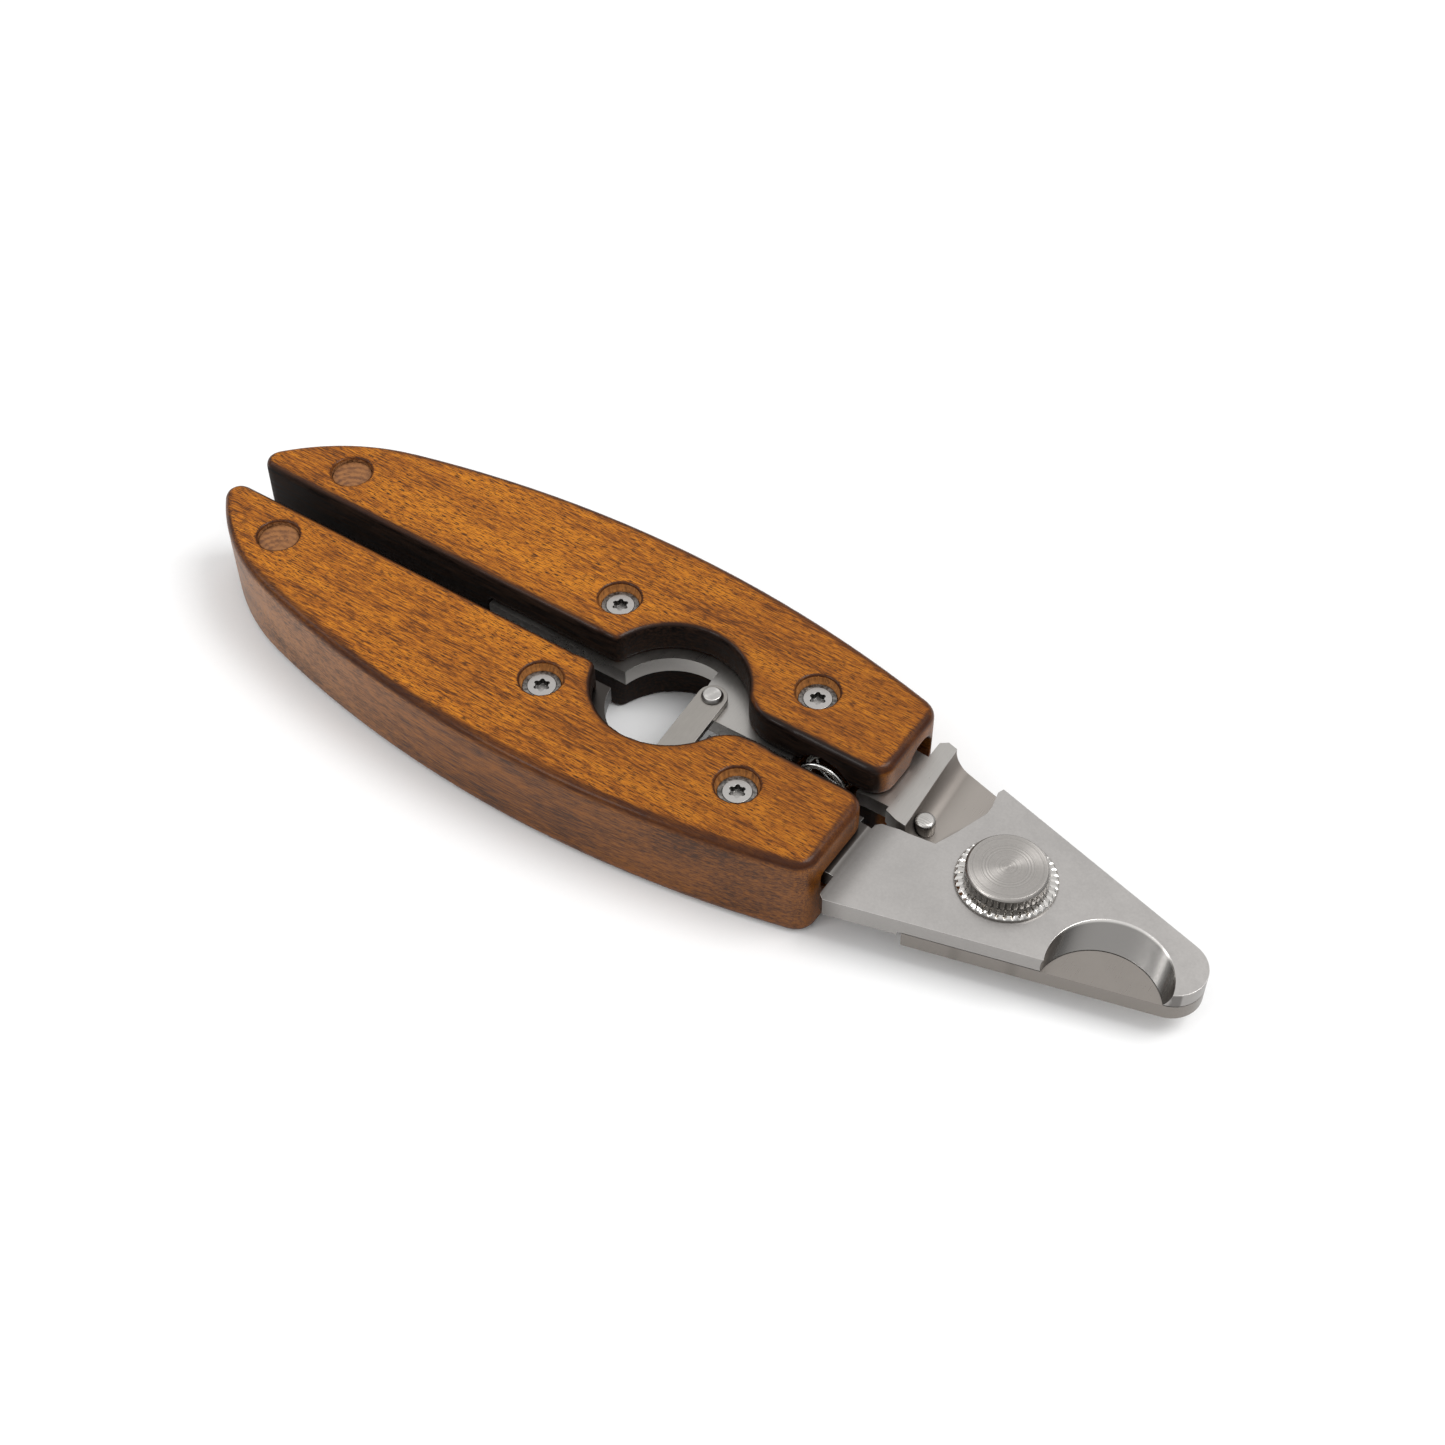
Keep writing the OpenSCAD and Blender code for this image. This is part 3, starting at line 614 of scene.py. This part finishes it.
# the saw marks on the stop pin run across it, as from a far centre
pinLook = turnedSteel("sawn stop pin", (stopSpot.x, stopSpot.y - fitting["sawnFrom"]), rough=0.3,
                      pitch=fitting["sawPitch"], depth=0.8)
latchLook = satinSteel("latch plate", (0.41, 0.385, 0.355), 0.36, (5200, 420, 5200), fitting["latchLean"])
rivetLook = turnedSteel("spun rivet", rivetSpot, (0.66, 0.64, 0.615), rough=0.34)
dress("stop_pin", "stopPin", pinLook, fitting["pinEdge"], 3)
dress("latch_link", "latchLink", latchLook, fitting["edge"])
dress("latch_rivet", "latchRivet", rivetLook, fitting["edge"], 3)
dress("latch_peg", "latchPeg", turnedSteel("turned peg", pegSpot), fitting["pegEdge"])

for side in ("near", "far"):
    screwLook = satinSteel(side + " bright screw", (0.56, 0.54, 0.52), 0.38, (3200, 3200, 3200), 0, 0.5,
                           sunk=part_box(side + "_screws")[1].z)
    washerLook = shadowGreySteel(side + " blacked washer")
    nutLook = satinSteel(side + " sleeve nut", rough=0.28)
    dress(side + "_screws", side + "Screws", screwLook, fitting["screwEdge"])
    dress(side + "_cup_washers", side + "CupWashers", washerLook, fitting["edge"])
    dress(side + "_sleeve_nuts", side + "SleeveNuts", nutLook, fitting["edge"])

print("spring")
coil = {"wire": 0.5 * mm, "turns": 6.0, "stepsPerTurn": 40, "sides": 12, "ends": 2.2, "stretched": 5.5 * mm,
        "smooth": 50}


def makeSpring():
    low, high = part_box("return_spring")
    centre = (low + high) / 2
    meanRadius = (high.z - low.z) / 2 - coil["wire"]
    run = (high.y - low.y) - coil["ends"] * coil["wire"]
    bpy.ops.object.select_all(action="DESELECT")
    bpy.ops.mesh.primitive_circle_add(vertices=coil["sides"], radius=coil["wire"],
                                      location=(meanRadius, 0, 0), rotation=(math.pi / 2, 0, 0))
    wire = bpy.context.object
    wire.name = "returnSpring"
    bpy.ops.object.transform_apply(location=True, rotation=True, scale=True)
    wind = wire.modifiers.new("wind", "SCREW")
    wind.axis = "Z"
    wind.angle = 2 * math.pi * coil["turns"]
    wind.screw_offset = run
    wind.steps = wind.render_steps = int(coil["turns"] * coil["stepsPerTurn"])
    wind.iterations = 1
    bpy.ops.object.modifier_apply(modifier="wind")
    # the wound coil is closed at both ends and centred on its own length
    lowest = min(v.co.z for v in wire.data.vertices)
    highest = max(v.co.z for v in wire.data.vertices)
    bpy.ops.object.mode_set(mode="EDIT")
    bpy.ops.mesh.select_all(action="DESELECT")
    bpy.ops.mesh.select_non_manifold()
    bpy.ops.mesh.edge_face_add()
    bpy.ops.mesh.select_all(action="SELECT")
    bpy.ops.mesh.normals_make_consistent(inside=False)
    bpy.ops.transform.translate(value=(0, 0, -(lowest + highest) / 2))
    bpy.ops.object.mode_set(mode="OBJECT")
    wire.data.transform(Matrix.Translation(centre) @ Matrix.Rotation(-math.pi / 2, 4, "X"))
    bpy.ops.object.shade_smooth_by_angle(angle=math.radians(coil["smooth"]))
    return wire, centre


spring, springMiddle = makeSpring()
# painted light: the wire is given a near-white colour so the coils read bright in the shaded gap
springLook = satinSteel("spring wire", (0.92, 0.91, 0.88), 0.24, (2200, 2200, 2200), 0, 0.4)
spring.data.materials.append(springLook)
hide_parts("return_spring")
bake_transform(spring)

print("studio")
studio = {"floorSize": 6, "floorDrop": 0.02 * mm, "floor": (0.95, 0.95, 0.95), "paper": (900, 900, 900),
          "horizon": 0.05, "overhead": 0.75, "low": 0.26, "high": 0.87}
bpy.context.scene.view_settings.view_transform = "Standard"
bpy.ops.object.select_all(action="DESELECT")
bpy.ops.mesh.primitive_plane_add(size=studio["floorSize"], location=(0, 0, -studio["floorDrop"]))
floor = bpy.context.object
floor.name = "floor"
floorLook, floorShader = newLook("pale floor")
paper = noise(floorLook, studio["paper"], 3)
flecked = tuple(c * 0.99 for c in studio["floor"])
paperColour = ramp(floorLook, paper, (0.3, flecked), (0.7, studio["floor"]))
join(floorLook, paperColour, floorShader.inputs["Base Color"])
put(floorShader, Roughness=0.85, Specular_IOR_Level=0.15)
floor.data.materials.append(floorLook)

world = bpy.data.worlds.new("studio")
bpy.context.scene.world = world
world.use_nodes = True
# dim near the horizon and bright overhead, like a tent lit from above
skyCoords = addNode(world, "ShaderNodeTexCoord")
height = parts(world, skyCoords.outputs["Generated"])[2]
backdrop = world.node_tree.nodes["Background"]
backdrop.inputs["Color"].default_value = (1, 1, 1, 1)
glow = stretch(world, height, studio["horizon"], studio["overhead"], studio["low"], studio["high"])
join(world, glow, backdrop.inputs["Strength"])


def softbox(name, stand, aim, size, power):
    bpy.ops.object.light_add(type="AREA", location=stand)
    lamp = bpy.context.object
    lamp.name = name
    lamp.data.shape = "RECTANGLE"
    lamp.data.size, lamp.data.size_y = size
    lamp.data.energy = power
    lamp.rotation_euler = (Vector(aim) - Vector(stand)).to_track_quat("-Z", "Y").to_euler()


softbox("overhead", (0.46, 0.22, 0.85), (0, 0, 0), (0.5, 0.5), 4.6)
softbox("side", (-0.80, -0.35, 0.6), (0, 0, 0), (0.3, 0.4), 0.8)
softbox("front", (-0.34, -0.75, 0.54), (0, 0, 0), (0.3, 0.3), 1.3)

view = {"azimuth": 34.36, "elevation": 48.99, "distance": 0.3463, "roll": -0.0055,
        "aim": (0.00892, -0.00242, 0.0170), "lens": 55.31, "sensor": 36, "nearest": 0.01}
turn, lift = math.radians(view["azimuth"]), math.radians(view["elevation"])
aim = Vector(view["aim"])
away = Vector((math.sin(turn) * math.cos(lift), -math.cos(turn) * math.cos(lift), math.sin(lift)))
bpy.ops.object.camera_add(location=aim + away * view["distance"])
camera = bpy.context.object
camera.name = "camera"
camera.data.lens = view["lens"]
camera.data.sensor_width = view["sensor"]
camera.data.clip_start = view["nearest"]
levelled = (-away).to_track_quat("-Z", "Y").to_matrix()
camera.rotation_euler = (levelled @ Matrix.Rotation(view["roll"], 3, "Z")).to_euler()
bpy.context.scene.camera = camera
